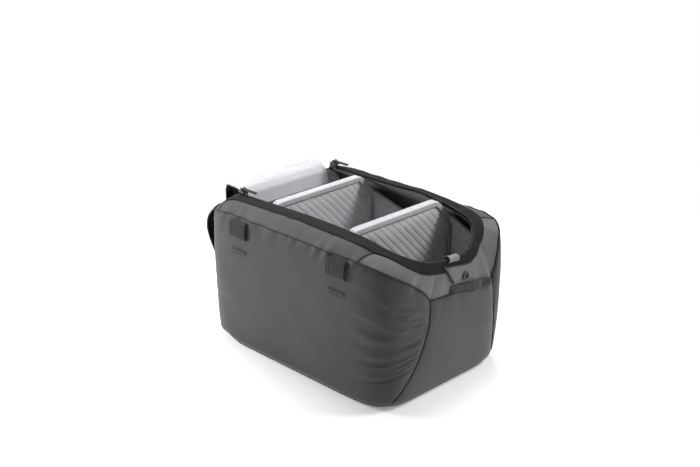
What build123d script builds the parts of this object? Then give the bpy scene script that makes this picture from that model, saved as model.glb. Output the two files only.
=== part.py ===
"""Soft padded camera cube: a zip-open box bag with foam walls and two movable dividers.

Millimetres. +Z is up, +X runs along the bag, +Y runs from its front to its rear.
The origin is the middle of the underside.
The lid is modelled open: it hangs folded in two down the left end.
"""

from build123d import *
from math import atan, cos, sin, sqrt, tan
import os

os.makedirs("parts", exist_ok=True)

# ---------------------------------------------------------------- driving dimensions
length = 300.0              # outside length along X
depth = 218.0               # outside depth along Y
seam_height = 174.0         # top seam of the front and rear panels
rim_height = 189.6          # top of the zip rim
shoulder_run = 20.0         # how far the top gusset leans in from seam to rim
side_bulge = 4.0            # how far each padded wall bows out at its middle
crease = 1.5                # the bottom rounding meets the walls at a slight crease
corner_radius = 30.0        # upright corners, seen from above
least_radius = 3.0          # of the same corners where the outline is pulled far in
left_bottom_radius = 36.0
right_bottom_radius = 14.0
long_bottom_radius = 12.0

end_corner_height = 117.0   # where the front seam comes to a point on each end
end_corner_y = -32.0
rear_corner_height = 111.0
rear_corner_y = 77.0
bottom_seam_y = 92.0
front_seam_middle = (-54.0, 58.0)   # a (y, z) place each seam's arc passes through
rear_seam_middle = (82.0, 55.0)
seam_margin = 20.0          # how far the seams' cutting lines run past the bag

slope_start = 100.0         # the rim drops from here to the right end
slope_end_height = 157.0    # height of that slope at the right end

skin = 2.0                  # outer fabric
foam_outer, foam_inner = 2.4, 8.4
lining_outer, lining_inner = 8.6, 9.8
board_outer, board_inner = 2.2, 4.2
lining_top = 168.0
lining_drop = 4.0           # how far the lining stays below the right-hand slope
foam_bottom, foam_top = 15.0, 164.0
end_foam_top = 132.0
side_foam_half_length = 118.0
end_foam_half_width = 85.0
gap = 0.2                   # between pieces that are sewn or laid together

coil_y = 76.5               # centre of the zip coil from the bag's middle
coil_radius = 1.5
coil_start = -128.0
coil_run = 46.0             # length of the coil's loop down the right slope
coil_corner = 34.0
stop_room = 4.0             # for the stops past the coil's two left ends
tape_thickness = 1.2
tape_inner, tape_outer = 1.7, 10.5
tape_overlap = 4.0          # how far the gusset runs in under the tape

divider_thickness = 10.0
divider_half_width = 94.0
divider_top = 187.6
floor_clearance = 0.5
flap_thickness = 5.0
hook_thickness = 1.2

lid_half_width = 71.5
lid_thickness = 6.0
lid_gap = 0.6               # between the folded halves
lid_wall_gap = 1.4          # between the hanging lid and the left end
lid_near_length = 132.0
lid_far_length = 72.5
lid_nose_length = 39.0
strip_thickness = 2.0
strip_gap = 0.6             # between the hinge strip and the rim below it
closed_gap = 0.7            # between the closed lid and the rim
swing_axis_z = 189.1
lid_top = 188.3

half_length = length / 2
half_depth = depth / 2
slope = atan((rim_height - slope_end_height) / (half_length - slope_start))
flat_left = -half_length + left_bottom_radius
flat_right = half_length - right_bottom_radius
flat_half_depth = half_depth - long_bottom_radius
far = 400.0                 # longer than any cut

slope_plane = Plane(
    origin=(slope_start, 0, rim_height),
    x_dir=(cos(slope), 0, -sin(slope)),
    z_dir=(sin(slope), 0, cos(slope)),
)


def save(piece, name):
    """Label a finished piece and write it as its own file."""
    piece.part.label = name
    export_step(piece.part, f"parts/{name}.step")


def wall_y(x):
    """Front or rear wall's distance from the middle at a place along the bag."""
    return half_depth - side_bulge * (x / half_length) ** 2


# ---------------------------------------------------------------- shared shapes
def plan_outline(inset, height):
    """The bag seen from above: four bowed sides with round corners."""
    middle_x = half_length - inset
    middle_y = half_depth - inset
    x = middle_x - side_bulge
    y = middle_y - side_bulge
    with BuildSketch(Plane.XY.offset(height)) as outline:
        with BuildLine():
            ThreePointArc((-x, -y), (0, -middle_y), (x, -y))
            ThreePointArc((x, -y), (middle_x, 0), (x, y))
            ThreePointArc((x, y), (0, middle_y), (-x, y))
            ThreePointArc((-x, y), (-middle_x, 0), (-x, -y))
        make_face()
        fillet(outline.vertices(), max(corner_radius - inset, least_radius))
    return outline.sketch


def hull(inset):
    """The bag's outside as one solid, pulled in by inset on every face."""
    top = rim_height - inset
    slope_drop = inset / cos(slope)
    right = half_length - inset
    right_top = slope_end_height + (half_length - right) * tan(slope) - slope_drop
    kink = slope_start - (slope_drop - inset) / tan(slope)
    side = half_depth - inset
    overrun = 5.0
    lean = shoulder_run / (rim_height - seam_height)
    with BuildPart() as solid:
        add(plan_outline(inset, -overrun))
        extrude(amount=seam_height + overrun)
        with BuildPart(mode=Mode.PRIVATE) as shoulder:
            add(plan_outline(inset, seam_height))
            add(plan_outline(inset + shoulder_run + overrun * lean, rim_height + overrun))
            loft(ruled=True)
        add(shoulder.part)
        with BuildSketch(Plane.XZ) as side_view:
            with BuildLine():
                Polyline(
                    (-right - crease, inset), (right + crease, inset),
                    (right + crease, right_top - crease * tan(slope)), (kink, top),
                    (-right - crease, top), close=True,
                )
            make_face()
            corners = side_view.vertices().group_by(Axis.Y)[0].sort_by(Axis.X)
            fillet(corners[0], left_bottom_radius - inset)
            fillet(corners[1], right_bottom_radius - inset)
        extrude(amount=far, both=True, mode=Mode.INTERSECT)
        with BuildSketch(Plane.YZ) as end_view:
            with Locations((0, inset)):
                Rectangle(2 * side + 2 * crease, far, align=(Align.CENTER, Align.MIN))
            fillet(end_view.vertices().group_by(Axis.Y)[0], long_bottom_radius - inset)
        extrude(amount=far, both=True, mode=Mode.INTERSECT)
    return solid.part


def box_zone(x_low, x_high, y_low, y_high, z_low, z_high):
    """A plain block used to pick out one piece of a shell."""
    with BuildPart() as zone:
        with BuildSketch(Plane.XY.offset(z_low)):
            with Locations(((x_low + x_high) / 2, (y_low + y_high) / 2)):
                Rectangle(x_high - x_low, y_high - y_low)
        extrude(amount=z_high - z_low)
    return zone.part


def front_seam():
    """Front seam seen from the end: down from the top, to a point, and back to the floor."""
    with BuildLine() as line:
        Line((-half_depth - seam_margin, seam_height), (-half_depth, seam_height))
        Line((-half_depth, seam_height), (end_corner_y, end_corner_height))
        ThreePointArc(
            (end_corner_y, end_corner_height), front_seam_middle, (-bottom_seam_y, 0),
        )
        Line((-bottom_seam_y, 0), (-bottom_seam_y, -seam_margin))
    return line.line


def rear_seam():
    """Rear seam seen from the end, close to the rear corner all the way down."""
    with BuildLine() as line:
        Line((half_depth + seam_margin, seam_height), (half_depth, seam_height))
        Line((half_depth, seam_height), (rear_corner_y, rear_corner_height))
        ThreePointArc(
            (rear_corner_y, rear_corner_height), rear_seam_middle, (bottom_seam_y, 0),
        )
        Line((bottom_seam_y, 0), (bottom_seam_y, -seam_margin))
    return line.line


def side_zone(seam, side):
    """Everything on the outer side of a front or rear seam."""
    with BuildPart() as zone:
        with BuildSketch(Plane.YZ):
            with BuildLine():
                add(seam)
                Polyline(
                    (side * bottom_seam_y, -seam_margin),
                    (side * (half_depth + seam_margin), -seam_margin),
                    (side * (half_depth + seam_margin), seam_height),
                )
            make_face()
            offset(amount=-gap / 2)
        extrude(amount=far, both=True)
    return zone.part


def end_zone():
    """The end panels' region, between the two seams and under the gusset."""
    with BuildPart() as zone:
        with BuildSketch(Plane.YZ):
            with BuildLine():
                ThreePointArc(
                    (end_corner_y, end_corner_height), front_seam_middle, (-bottom_seam_y, 0),
                )
                Polyline(
                    (-bottom_seam_y, 0), (-bottom_seam_y, -seam_margin),
                    (bottom_seam_y, -seam_margin), (bottom_seam_y, 0),
                )
                ThreePointArc(
                    (bottom_seam_y, 0), rear_seam_middle, (rear_corner_y, rear_corner_height),
                )
                Line((rear_corner_y, rear_corner_height), (end_corner_y, end_corner_height))
            make_face()
            offset(amount=-gap / 2)
        extrude(amount=far, both=True)
    return zone.part


def gusset_zone():
    """Everything above the top seams."""
    with BuildPart() as zone:
        with BuildSketch(Plane.YZ):
            with BuildLine():
                Polyline(
                    (-half_depth - seam_margin, seam_height), (-half_depth, seam_height),
                    (end_corner_y, end_corner_height), (rear_corner_y, rear_corner_height),
                    (half_depth, seam_height), (half_depth + seam_margin, seam_height),
                    (half_depth + seam_margin, far), (-half_depth - seam_margin, far),
                    close=True,
                )
            make_face()
            offset(amount=-gap / 2)
        extrude(amount=far, both=True)
    return zone.part


def end_gusset_zone(grow):
    """The right gusset's plan: its curved seams run in from the corners to the zip."""
    outer_x, middle_x, inner_x = 110.0, 118.0, 131.0
    middle_y, inner_y = 96.0, 70.0
    edge = half_depth + 10
    with BuildPart() as zone:
        with BuildSketch():
            with BuildLine():
                ThreePointArc((outer_x, -edge), (middle_x, -middle_y), (inner_x, -inner_y))
                Line((inner_x, -inner_y), (inner_x, inner_y))
                ThreePointArc((inner_x, inner_y), (middle_x, middle_y), (outer_x, edge))
                Polyline(
                    (outer_x, edge), (half_length + 10, edge),
                    (half_length + 10, -edge), (outer_x, -edge),
                )
            make_face()
            offset(amount=grow)
        extrude(amount=far)
    return zone.part


def rim_prism(grow, above, below):
    """The zip opening grown by grow, from below to above the rim's surface."""
    left = coil_start - stop_room
    with BuildPart() as prism:
        with BuildSketch(Plane.XY.offset(rim_height - below)):
            with Locations(((slope_start + left) / 2, 0)):
                Rectangle(slope_start - left, 2 * (coil_y + grow))
        extrude(amount=above + below)
        with BuildSketch(slope_plane.offset(-below)) as loop:
            with Locations(((coil_run + grow) / 2, 0)):
                Rectangle(coil_run + grow, 2 * (coil_y + grow))
            fillet(loop.vertices().group_by(Axis.X)[-1], coil_corner + grow)
        extrude(amount=above + below)
    return prism.part


# ---------------------------------------------------------------- outer fabric
outside = hull(0)
with BuildPart() as outer_skin:
    add(outside)
    add(hull(skin), mode=Mode.SUBTRACT)

base_footprint = box_zone(
    flat_left, flat_right, -flat_half_depth, flat_half_depth, -1, skin + gap
)
wide_footprint = box_zone(
    flat_left - gap, flat_right + gap, -flat_half_depth - gap, flat_half_depth + gap,
    -1, skin + 2 * gap,
)

with BuildPart() as base_panel:
    add(outer_skin.part)
    add(base_footprint, mode=Mode.INTERSECT)
save(base_panel, "base_panel")

for name, seam, side in (
    ("front_panel", front_seam(), -1),
    ("rear_panel", rear_seam(), 1),
):
    with BuildPart() as panel:
        add(outer_skin.part)
        add(side_zone(seam, side), mode=Mode.INTERSECT)
        add(wide_footprint, mode=Mode.SUBTRACT)
    save(panel, name)

for name, x_low, x_high in (
    ("left_end_panel", -half_length - 1, flat_left - gap),
    ("right_end_panel", flat_right + gap, half_length + 1),
):
    with BuildPart() as panel:
        add(outer_skin.part)
        add(end_zone(), mode=Mode.INTERSECT)
        add(
            box_zone(x_low, x_high, -half_depth, half_depth, -1, seam_height),
            mode=Mode.INTERSECT,
        )
    save(panel, name)

# ---------------------------------------------------------------- top gussets
with BuildPart() as gusset_skin:
    add(outer_skin.part)
    add(gusset_zone(), mode=Mode.INTERSECT)
    add(rim_prism(tape_outer + gap, far, tape_thickness + gap), mode=Mode.SUBTRACT)
    add(rim_prism(tape_outer - tape_overlap, far, seam_height / 2), mode=Mode.SUBTRACT)

left_gusset_edge = -half_length + shoulder_run + 2
with BuildPart() as right_top_gusset:
    add(gusset_skin.part)
    add(end_gusset_zone(-gap), mode=Mode.INTERSECT)
save(right_top_gusset, "right_top_gusset")

with BuildPart() as left_top_gusset:
    add(gusset_skin.part)
    add(
        box_zone(-half_length - 1, left_gusset_edge, -half_depth, half_depth, 0, far),
        mode=Mode.INTERSECT,
    )
save(left_top_gusset, "left_top_gusset")

for name, y_low, y_high in (
    ("front_top_gusset", -half_depth - 1, 0),
    ("rear_top_gusset", 0, half_depth + 1),
):
    with BuildPart() as gusset:
        add(gusset_skin.part)
        add(
            box_zone(left_gusset_edge + gap, half_length, y_low, y_high, 0, far),
            mode=Mode.INTERSECT,
        )
        add(end_gusset_zone(gap), mode=Mode.SUBTRACT)
    save(gusset, name)

# ---------------------------------------------------------------- piping in the seams
piping_width = 2.4
piping_depth = 1.6
with BuildPart() as piping_ring:
    add(hull(-piping_depth))
    add(
        box_zone(-far, far, -far, far, left_bottom_radius, seam_height + piping_width),
        mode=Mode.INTERSECT,
    )
    add(plan_outline(-gap, 0))
    extrude(amount=far, mode=Mode.SUBTRACT)

for name, seam in (("front_seam_piping", front_seam()), ("rear_seam_piping", rear_seam())):
    with BuildPart() as piping:
        add(piping_ring.part)
        with BuildPart(mode=Mode.PRIVATE) as band:
            with BuildSketch(Plane.YZ):
                with BuildLine():
                    add(seam)
                    offset(amount=piping_width / 2, side=Side.BOTH)
                make_face()
            extrude(amount=far, both=True)
        add(band.part, mode=Mode.INTERSECT)
    save(piping, name)

# ---------------------------------------------------------------- stiffening and padding
with BuildPart() as base_board:
    add(hull(board_outer))
    add(hull(board_inner), mode=Mode.SUBTRACT)
    add(
        box_zone(flat_left, flat_right, -flat_half_depth, flat_half_depth, 0, board_inner),
        mode=Mode.INTERSECT,
    )
save(base_board, "base_board")

foam_shells = {
    "base_foam": (
        board_inner + gap,
        box_zone(flat_left, flat_right, -flat_half_depth, flat_half_depth, 0, foam_inner),
    ),
    "front_foam": (
        foam_outer,
        box_zone(
            -side_foam_half_length, side_foam_half_length, -half_depth,
            -flat_half_depth - gap, foam_bottom, foam_top,
        ),
    ),
    "rear_foam": (
        foam_outer,
        box_zone(
            -side_foam_half_length, side_foam_half_length, flat_half_depth + gap,
            half_depth, foam_bottom, foam_top,
        ),
    ),
    "left_foam": (
        foam_outer,
        box_zone(
            -half_length, flat_left - gap, -end_foam_half_width, end_foam_half_width,
            left_bottom_radius, foam_top,
        ),
    ),
    "right_foam": (
        foam_outer,
        box_zone(
            flat_right + gap, half_length, -end_foam_half_width, end_foam_half_width,
            foam_bottom, end_foam_top,
        ),
    ),
}
foam_core = hull(foam_inner)
for name, (outer, zone) in foam_shells.items():
    with BuildPart() as foam:
        add(hull(outer))
        add(foam_core, mode=Mode.SUBTRACT)
        add(zone, mode=Mode.INTERSECT)
    save(foam, name)

with BuildPart() as interior_lining:
    add(hull(lining_outer))
    add(hull(lining_inner), mode=Mode.SUBTRACT)
    add(
        box_zone(-half_length, half_length, -half_depth, half_depth, 0, lining_top),
        mode=Mode.INTERSECT,
    )
    with BuildSketch(slope_plane.offset(-lining_outer - lining_drop)):
        Rectangle(far, far)
    extrude(amount=far, mode=Mode.SUBTRACT)
save(interior_lining, "interior_lining")

# ---------------------------------------------------------------- body half of the zip
with BuildPart() as zip_tape:
    add(rim_prism(tape_outer, 0, tape_thickness))
    add(rim_prism(tape_inner, 5, 5), mode=Mode.SUBTRACT)
    add(
        box_zone(-half_length, coil_start, -half_depth, half_depth, 100, far),
        mode=Mode.SUBTRACT,
    )
save(zip_tape, "zip_tape")

coil_height = rim_height - tape_thickness / 2


def on_slope(run, y):
    """A point of the coil's line, a given run down the slope."""
    return slope_plane.from_local_coords(Vector(run, y, coil_depth))


coil_depth = -tape_thickness / 2
turn_start = coil_run - coil_corner
turn_y = coil_y - coil_corner
turn_middle = coil_corner / sqrt(2)
with BuildPart() as zip_coil:
    with BuildLine() as coil_path:
        Line((coil_start, -coil_y, coil_height), on_slope(0, -coil_y))
        Line(on_slope(0, -coil_y), on_slope(turn_start, -coil_y))
        ThreePointArc(
            on_slope(turn_start, -coil_y),
            on_slope(turn_start + turn_middle, -turn_y - turn_middle),
            on_slope(coil_run, -turn_y),
        )
        Line(on_slope(coil_run, -turn_y), on_slope(coil_run, turn_y))
        ThreePointArc(
            on_slope(coil_run, turn_y),
            on_slope(turn_start + turn_middle, turn_y + turn_middle),
            on_slope(turn_start, coil_y),
        )
        Line(on_slope(turn_start, coil_y), on_slope(0, coil_y))
        Line(on_slope(0, coil_y), (coil_start, coil_y, coil_height))
    with BuildSketch(Plane(origin=(coil_start, -coil_y, coil_height), z_dir=(1, 0, 0))):
        Circle(coil_radius)
    sweep(path=coil_path.line, transition=Transition.ROUND)
save(zip_coil, "zip_coil")

stop_length, stop_width, stop_height, stop_rounding = 3.0, 5.0, 4.0, 1.0
with BuildPart() as zip_end_stops:
    stop_x = coil_start - gap - stop_length / 2
    with Locations((stop_x, -coil_y, coil_height), (stop_x, coil_y, coil_height)):
        Box(stop_length, stop_width, stop_height)
    fillet(zip_end_stops.edges().filter_by(Axis.X), stop_rounding)
save(zip_end_stops, "zip_end_stops")

# ---------------------------------------------------------------- zip sliders and pulls
slider_length, slider_width, slider_height = 12.0, 8.0, 6.4
slider_corner, slider_edge = 2.0, 0.8
slider_x = coil_start + 14
coil_clearance, slot_clearance = 0.4, 0.8
ear_gap, ear_length, ear_thickness, ear_height = 3.8, 3.6, 1.2, 3.4
pin_radius, eye_radius, eye_clearance = 0.7, 1.5, 0.08
pin_height = slider_height / 2 + 1.9
pull_length, pull_width, pull_thickness, pull_corner = 24.0, 3.6, 1.6, 1.5

for name, side in (("front", -1), ("rear", 1)):
    slider_plane = Plane(origin=(slider_x, side * coil_y, coil_height))
    with BuildPart(slider_plane) as slider:
        Box(slider_length, slider_width, slider_height)
        fillet(slider.edges().filter_by(Axis.Z), slider_corner)
        fillet(slider.faces().sort_by(Axis.Z)[-1].edges(), slider_edge)
        Cylinder(
            coil_radius + coil_clearance, slider_length * 2, rotation=(0, 90, 0),
            mode=Mode.SUBTRACT,
        )
        with Locations((0, side * slider_width / 2, 0)):
            Box(
                slider_length * 2, slider_width, tape_thickness + slot_clearance,
                mode=Mode.SUBTRACT,
            )
        with Locations(
            (0, (ear_gap + ear_thickness) / 2, slider_height / 2),
            (0, -(ear_gap + ear_thickness) / 2, slider_height / 2),
        ):
            Box(
                ear_length, ear_thickness, ear_height,
                align=(Align.CENTER, Align.CENTER, Align.MIN),
            )
        with Locations((0, 0, pin_height)):
            Cylinder(pin_radius, ear_gap + ear_thickness, rotation=(90, 0, 0))
    save(slider, f"{name}_slider")

    with BuildPart(slider_plane) as pull:
        with Locations((0, 0, pin_height)):
            Cylinder(eye_radius, pull_width, rotation=(90, 0, 0))
            Box(
                pull_length, pull_width, pull_thickness,
                align=(Align.MIN, Align.CENTER, Align.CENTER),
            )
            Cylinder(
                pin_radius + eye_clearance, pull_width * 2, rotation=(90, 0, 0),
                mode=Mode.SUBTRACT,
            )
        fillet(pull.edges().filter_by(Axis.Z).group_by(Axis.X)[-1], pull_corner)
    save(pull, f"{name}_pull")

# ---------------------------------------------------------------- right end fittings
garage_length, garage_radius, garage_y = 24.0, 4.6, 4.0
with BuildPart(slope_plane.offset(coil_depth)) as zip_garage:
    with Locations((coil_run, garage_y, 0)):
        Cylinder(garage_radius, garage_length, rotation=(90, 0, 0))
        Cylinder(
            coil_radius + coil_clearance, garage_length * 2, rotation=(90, 0, 0),
            mode=Mode.SUBTRACT,
        )
        Box(
            garage_radius * 4, garage_length * 2, tape_thickness + slot_clearance,
            align=(Align.MIN, Align.CENTER, Align.CENTER), mode=Mode.SUBTRACT,
        )
save(zip_garage, "zip_garage")

patch_thickness = 1.0
patch_front_top, patch_rear_top = (-10, 148), (46, 142)
patch_rear_bottom, patch_front_bottom = (46, 118), (8, 120)
with BuildPart() as end_patch:
    with BuildSketch(Plane.YZ.offset(half_length + gap)):
        with BuildLine():
            Polyline(
                patch_front_top, patch_rear_top, patch_rear_bottom, patch_front_bottom,
                close=True,
            )
        make_face()
    extrude(amount=patch_thickness)
save(end_patch, "end_patch")

snap_y, snap_z = 23.0, 132.0
snap_radius, snap_bore = 5.2, 2.6
ring_thickness, ring_rounding, socket_thickness = 1.4, 0.5, 0.6
snap_face = half_length + 2 * gap + patch_thickness
with BuildPart() as snap_ring:
    with BuildSketch(Plane.YZ.offset(snap_face)):
        with Locations((snap_y, snap_z)):
            Circle(snap_radius)
            Circle(snap_bore, mode=Mode.SUBTRACT)
    extrude(amount=ring_thickness)
    fillet(snap_ring.faces().sort_by(Axis.X)[-1].edges(), ring_rounding)
save(snap_ring, "snap_ring")

with BuildPart() as snap_socket:
    with BuildSketch(Plane.YZ.offset(snap_face)):
        with Locations((snap_y, snap_z)):
            Circle(snap_bore - gap)
    extrude(amount=socket_thickness)
save(snap_socket, "snap_socket")

strap_length, strap_width, strap_thickness, strap_corner = 73.0, 9.0, 1.8, 1.0
strap_y, strap_z = 34.0, 116.5
strap_drop = 11.0           # it slants down towards the rear by this much end to end
strap_plane = Plane(
    origin=(snap_face, strap_y, strap_z), x_dir=(0, strap_length, -strap_drop),
    z_dir=(1, 0, 0),
)
with BuildPart() as end_strap:
    with BuildSketch(strap_plane):
        RectangleRounded(strap_length, strap_width, strap_corner)
    extrude(amount=strap_thickness)
save(end_strap, "end_strap")

# ---------------------------------------------------------------- webbing tabs on the front
tab_width, tab_drop, tab_thickness, tab_rounding = 28.0, 21.0, 2.4, 1.15
tab_hinge_z = 170.0
tab_face = half_depth + piping_depth + gap
tab_places = {"left": -84.0, "right": 80.0}
slot_length, slot_height, slot_thickness, slot_corner = 26.0, 3.0, 0.8, 1.0
slot_z = 132.0

for name, x in tab_places.items():
    with BuildPart() as tab:
        with BuildSketch(Plane.YZ.offset(x - tab_width / 2)):
            with Locations((-tab_face - tab_thickness / 2, tab_hinge_z - tab_drop / 2)):
                RectangleRounded(tab_thickness, tab_drop, tab_rounding)
        extrude(amount=tab_width)
    save(tab, f"front_tab_{name}")

with BuildPart() as tab_slots:
    for x in tab_places.values():
        with BuildSketch(Plane.XZ.offset(wall_y(abs(x) - slot_length / 2) + gap)):
            with Locations((x, slot_z)):
                RectangleRounded(slot_length, slot_height, slot_corner)
        extrude(amount=slot_thickness)
save(tab_slots, "tab_slots")

# ---------------------------------------------------------------- padded dividers
floor = lining_inner + floor_clearance
cut_corner = 26.0           # clears the sliders as they pass over the dividers' ends
divider_corner = 8.0
flap_top, flap_end_top = 162.0, 146.0
hook_width, hook_height, hook_corner = 16.0, 110.0, 2.0
hook_z = 85.0
divider_sets = {
    "divider_1": {"x": -63.0, "rear_flap": 60.0, "front_flap": 26.0},
    "divider_2": {"x": 64.0, "rear_flap": 40.0, "front_flap": 22.0},
}
for name, spec in divider_sets.items():
    centre = spec["x"]
    face = centre + divider_thickness / 2 + gap
    with BuildPart() as core:
        with BuildSketch(Plane.YZ.offset(centre - divider_thickness / 2)) as outline:
            with BuildLine():
                Polyline(
                    (-divider_half_width, floor), (divider_half_width, floor),
                    (divider_half_width, divider_top - cut_corner),
                    (divider_half_width - cut_corner, divider_top),
                    (-divider_half_width + cut_corner, divider_top),
                    (-divider_half_width, divider_top - cut_corner), close=True,
                )
            make_face()
            fillet(outline.vertices().group_by(Axis.Y)[-1], divider_corner)
        extrude(amount=divider_thickness)
    save(core, f"{name}_core")

    for flap_name, side in (("rear_flap", 1), ("front_flap", -1)):
        run = spec[flap_name]
        with BuildPart() as flap:
            with BuildSketch(Plane.XZ.offset(-side * divider_half_width)) as outline:
                with BuildLine():
                    Polyline(
                        (face, floor), (face + run, floor), (face + run, flap_end_top),
                        (face, flap_top), close=True,
                    )
                make_face()
                fillet(outline.vertices().group_by(Axis.X)[-1], divider_corner)
            extrude(amount=side * flap_thickness)
        save(flap, f"{name}_{flap_name}")

    with BuildPart() as hooks:
        for side in (-1, 1):
            with BuildSketch(Plane.XZ.offset(-side * (divider_half_width + gap))):
                with Locations((face + hook_width / 2 + 2 * gap, hook_z)):
                    RectangleRounded(hook_width, hook_height, hook_corner)
            extrude(amount=-side * hook_thickness)
    save(hooks, f"{name}_hook_strips")

# ---------------------------------------------------------------- lid, hanging open
near_lining_x = -half_length - lid_wall_gap - lid_thickness
far_lining_x = near_lining_x - lid_gap
fold_z = lid_top - lid_near_length
hinge_x = -half_length + shoulder_run
hinge_z = rim_height + strip_gap + strip_thickness / 2
swing_x = near_lining_x + 2 * hinge_z - (rim_height + closed_gap) - swing_axis_z

near_plane = Plane(origin=(near_lining_x, 0, lid_top), x_dir=(0, 0, -1), z_dir=(1, 0, 0))
far_plane = Plane(origin=(far_lining_x, 0, fold_z), x_dir=(0, 0, 1), z_dir=(-1, 0, 0))
nose_plane = Plane(
    origin=(far_lining_x, 0, fold_z + lid_far_length + 2 * gap), x_dir=(0, 0, 1),
    z_dir=(-1, 0, 0),
)
lid_layers = {"lining": (0.0, 0.8), "foam": (1.0, 4.8), "shell": (5.0, 6.0)}
lid_border = 9.0            # the zip tape's strip around the padded middle
nose_corner = 32.0


def lid_sheet(plane, run, low, high, inset, round_end):
    """One layer of a lid section, lying on its plane and inset from its long edges."""
    width = 2 * (lid_half_width - inset)
    reach = run - inset if round_end else run
    with BuildPart() as sheet:
        with BuildSketch(plane.offset(low)) as outline:
            with Locations((reach / 2, 0)):
                Rectangle(reach, width)
            if round_end:
                fillet(outline.vertices().group_by(Axis.X)[-1], nose_corner - inset)
        extrude(amount=high - low)
    return sheet.part


lid_sections = {
    "lid_near": (near_plane, lid_near_length, False),
    "lid_far": (far_plane, lid_far_length, False),
    "lid_nose": (nose_plane, lid_nose_length, True),
}
tape_low, tape_high = 2.2, 3.4
for section, (plane, run, round_end) in lid_sections.items():
    for layer, (low, high) in lid_layers.items():
        with BuildPart() as sheet:
            add(lid_sheet(plane, run, low, high, lid_border, round_end))
        save(sheet, f"{section}_{layer}")
    with BuildPart() as tape:
        add(lid_sheet(plane, run, tape_low, tape_high, coil_radius, round_end))
        add(
            lid_sheet(plane, run, tape_low - 1, tape_high + 1, lid_border - gap, round_end),
            mode=Mode.SUBTRACT,
        )
    save(tape, f"{section}_zip_tape")

with BuildPart() as lid_hinge_strip:
    with BuildSketch(Plane.XY.offset(rim_height + strip_gap)):
        with Locations(((hinge_x - 1 + swing_x + 2) / 2, 0)):
            Rectangle(hinge_x - 1 - swing_x - 2, 2 * lid_half_width)
    extrude(amount=strip_thickness)
save(lid_hinge_strip, "lid_hinge_strip")
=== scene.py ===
import math
import bmesh
import bpy
import numpy as np
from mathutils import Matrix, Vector


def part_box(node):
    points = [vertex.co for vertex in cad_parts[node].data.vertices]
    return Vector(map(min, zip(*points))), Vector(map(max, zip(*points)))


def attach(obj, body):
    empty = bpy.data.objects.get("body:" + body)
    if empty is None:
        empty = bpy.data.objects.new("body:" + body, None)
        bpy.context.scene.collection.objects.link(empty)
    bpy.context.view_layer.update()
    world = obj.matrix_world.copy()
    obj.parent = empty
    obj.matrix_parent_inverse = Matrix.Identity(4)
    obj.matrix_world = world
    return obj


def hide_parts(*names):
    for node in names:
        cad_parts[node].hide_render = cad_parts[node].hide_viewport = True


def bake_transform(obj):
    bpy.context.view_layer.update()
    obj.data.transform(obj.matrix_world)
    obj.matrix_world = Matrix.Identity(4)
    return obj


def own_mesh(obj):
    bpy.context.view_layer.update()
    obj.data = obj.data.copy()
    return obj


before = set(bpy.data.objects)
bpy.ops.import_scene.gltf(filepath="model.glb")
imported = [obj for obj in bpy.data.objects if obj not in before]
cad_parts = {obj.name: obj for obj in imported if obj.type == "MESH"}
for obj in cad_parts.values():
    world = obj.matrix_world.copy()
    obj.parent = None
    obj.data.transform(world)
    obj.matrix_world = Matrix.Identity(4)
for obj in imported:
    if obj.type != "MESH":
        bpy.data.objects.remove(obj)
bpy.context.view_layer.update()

MM = 0.001                              # the sheets below are worked out in millimetres
BODY = "bag_body"


def node_box(node):
    """A CAD node's lowest and highest corners, in millimetres."""
    low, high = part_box(node)
    return np.array(low) / MM, np.array(high) / MM


half_length = node_box("right_end_panel")[1][0]
half_depth = -node_box("front_panel")[0][1]
floor_height = node_box("base_foam")[1][2] + 1.6


# ------------------------------------------------------------------ small maths
def smooth(t):
    """Eases 0 to 1."""
    t = np.clip(t, 0.0, 1.0)
    return t * t * (3.0 - 2.0 * t)


def noise(u, v, cell, seed):
    """Smooth value noise from -1 to 1 over a plane, with bumps about one cell wide."""
    size = 64
    table = np.random.RandomState(seed).uniform(-1.0, 1.0, (size, size))
    grid_u, grid_v = np.asarray(u) / cell, np.asarray(v) / cell
    u0, v0 = np.floor(grid_u).astype(int), np.floor(grid_v).astype(int)
    fu, fv = smooth(grid_u - u0), smooth(grid_v - v0)
    left, right = u0 % size, (u0 + 1) % size
    low, high = v0 % size, (v0 + 1) % size
    below = table[left, low] * (1 - fu) + table[right, low] * fu
    above = table[left, high] * (1 - fu) + table[right, high] * fu
    return below * (1 - fv) + above * fv


def blur_ring(values, reach):
    """Rounds off a list of values that closes on itself."""
    kernel = np.exp(-0.5 * (np.arange(-3 * reach, 3 * reach + 1) / reach) ** 2)
    kernel /= kernel.sum()
    wrapped = np.concatenate([values[-3 * reach:], values, values[:3 * reach]])
    return np.convolve(wrapped, kernel, mode="valid")


def distances(path):
    """How far each point of a path lies from the path's start."""
    gaps = np.linalg.norm(np.diff(path, axis=0), axis=1)
    return np.concatenate([[0.0], np.cumsum(gaps)])


def points_at(path, s):
    """The points of a path at distances s from its start."""
    place = distances(path)
    return np.stack([np.interp(s, place, path[:, i]) for i in range(path.shape[1])], -1)


def soften(line, rounds):
    """Rounds off the corners of a line of points, keeping its ends."""
    for _ in range(rounds):
        line[1:-1] = (line[:-2] + line[1:-1] + line[2:]) / 3
    return line


def unit(vectors):
    """The vectors with their lengths set to one."""
    return vectors / np.linalg.norm(vectors, axis=-1, keepdims=True)


def pair(u, v):
    """Two values at every point of a grid, such as its cloth coordinates."""
    return np.stack(np.broadcast_arrays(u, v), -1)


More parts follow.
